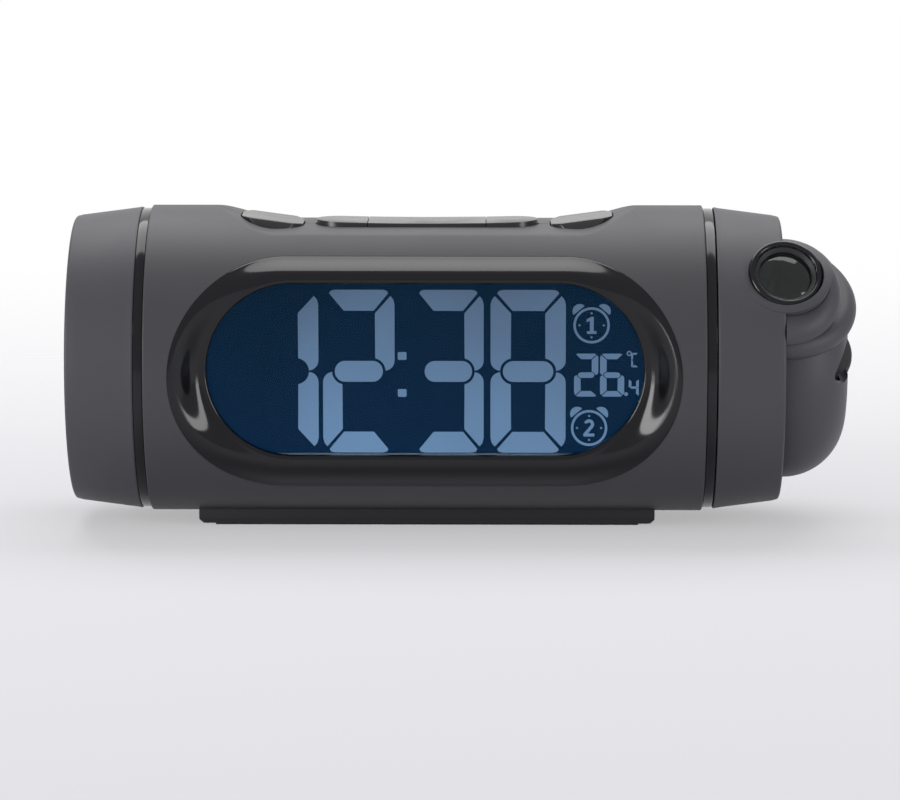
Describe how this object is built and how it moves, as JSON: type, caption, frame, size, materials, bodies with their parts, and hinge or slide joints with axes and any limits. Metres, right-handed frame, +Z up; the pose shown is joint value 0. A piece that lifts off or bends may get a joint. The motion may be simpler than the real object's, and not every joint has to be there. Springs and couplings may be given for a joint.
{
  "type": "projection alarm clock",
  "caption": "Cylindrical projection alarm clock with an oval digital display, a saddle key deck, a low foot and a swivelling end cap that carries a small projector with a focus wheel.",
  "frame": {"origin": "centre of the foot pad's resting face, on the table under the casing", "axes": "+X along the casing towards the projector's end, -Y towards the person reading the display, +Z up"},
  "size_m": [0.2033, 0.0802, 0.083],
  "materials": {
    "casing": "matte",
    "keys": "satin",
    "end_caps": "fine texture",
    "gloss_black": "polished",
    "display_tint": "clear tinted",
    "lcd_glass": "clear",
    "clear_acrylic": "clear",
    "white_plastic": "matte",
    "circuit_board": "satin",
    "black_plastic": "matte",
    "wheel_plastic": "satin",
    "rubber_black": "matte",
    "steel": "brushed",
    "cell_jacket": "gloss",
    "lens_glass": "clear"
  },
  "bodies": {
    "clock": {"front_shell": "casing", "rear_shell": "casing", "left_cap": "end_caps", "speaker_grille": "end_caps", "display_bezel": "gloss_black", "left_trim_ring": "gloss_black", "right_trim_ring": "gloss_black", "display_window": "display_tint", "lcd_panel": "lcd_glass", "light_guide": "clear_acrylic", "lcd_frame": "white_plastic", "main_board": "circuit_board", "top_key_board": "circuit_board", "rear_key_board": "circuit_board", "base_foot": "black_plastic", "battery_box": "black_plastic", "power_jack": "black_plastic", "swivel_bearing": "black_plastic", "speaker": "black_plastic", "foot_pad": "rubber_black", "housing_screws": "steel", "foot_screws": "steel", "battery_contacts": "steel", "battery_cells": "cell_jacket"},
    "projector": {"right_cap": "end_caps", "friction_washer": "steel", "retaining_clip": "steel", "projector_shell": "end_caps", "projector_frame": "black_plastic", "projector_led_board": "circuit_board", "condenser_lens": "lens_glass", "projector_lcd": "lcd_glass", "projector_screws": "steel", "lens_bezel": "gloss_black"},
    "lens_carrier": {"lens_barrel": "black_plastic", "projection_lens": "lens_glass"},
    "focus_wheel": {"focus_wheel": "wheel_plastic"},
    "left_outer_key": {"left_outer_key": "keys"},
    "left_inner_key": {"left_inner_key": "keys"},
    "snooze_bar": {"snooze_bar": "keys"},
    "right_inner_key": {"right_inner_key": "keys"},
    "right_outer_key": {"right_outer_key": "keys"},
    "time_key": {"time_key": "keys"},
    "alarm_key": {"alarm_key": "keys"},
    "up_key": {"up_key": "keys"},
    "down_key": {"down_key": "keys"},
    "battery_door": {"battery_door": "casing"}
  },
  "joints": [
    {"name": "projector_swivel", "type": "hinge", "parent": "clock", "child": "projector", "pos_m": [0, 0, 0.043], "axis": [-1, 0, 0], "range_deg": [-37, 143]},
    {"name": "focus_turn", "type": "hinge", "parent": "projector", "child": "focus_wheel", "pos_m": [0.09965, 0.00152, 0.04235], "axis": [0.1296, -0.7919, 0.5967], "range_deg": [-90, 90]},
    {"name": "lens_slide", "type": "slide", "parent": "projector", "child": "lens_carrier", "axis": [0.1296, -0.7919, 0.5967], "range_m": [-0.00094, 0.00094]},
    {"name": "left_outer_key_press", "type": "slide", "parent": "clock", "child": "left_outer_key", "axis": [0, 0, -1], "range_m": [0, 0.0009], "stiffness_N_per_m": 1200},
    {"name": "left_inner_key_press", "type": "slide", "parent": "clock", "child": "left_inner_key", "axis": [0, 0, -1], "range_m": [0, 0.0009], "stiffness_N_per_m": 1200},
    {"name": "snooze_bar_press", "type": "slide", "parent": "clock", "child": "snooze_bar", "axis": [0, 0, -1], "range_m": [0, 0.0009], "stiffness_N_per_m": 1200},
    {"name": "right_inner_key_press", "type": "slide", "parent": "clock", "child": "right_inner_key", "axis": [0, 0, -1], "range_m": [0, 0.0009], "stiffness_N_per_m": 1200},
    {"name": "right_outer_key_press", "type": "slide", "parent": "clock", "child": "right_outer_key", "axis": [0, 0, -1], "range_m": [0, 0.0009], "stiffness_N_per_m": 1200},
    {"name": "time_key_press", "type": "slide", "parent": "clock", "child": "time_key", "axis": [0, -0.848, -0.5299], "range_m": [0, 0.0009], "stiffness_N_per_m": 1200},
    {"name": "alarm_key_press", "type": "slide", "parent": "clock", "child": "alarm_key", "axis": [0, -0.848, -0.5299], "range_m": [0, 0.0009], "stiffness_N_per_m": 1200},
    {"name": "up_key_press", "type": "slide", "parent": "clock", "child": "up_key", "axis": [0, -0.848, -0.5299], "range_m": [0, 0.0009], "stiffness_N_per_m": 1200},
    {"name": "down_key_press", "type": "slide", "parent": "clock", "child": "down_key", "axis": [0, -0.848, -0.5299], "range_m": [0, 0.0009], "stiffness_N_per_m": 1200},
    {"name": "battery_door_slide", "type": "slide", "parent": "clock", "child": "battery_door", "axis": [0, 1, 0], "range_m": [0, 0.016]}
  ],
  "couplings": [
    {"joint": "focus_turn", "follows": "lens_slide", "rad_per_m": 1666.7}
  ]
}
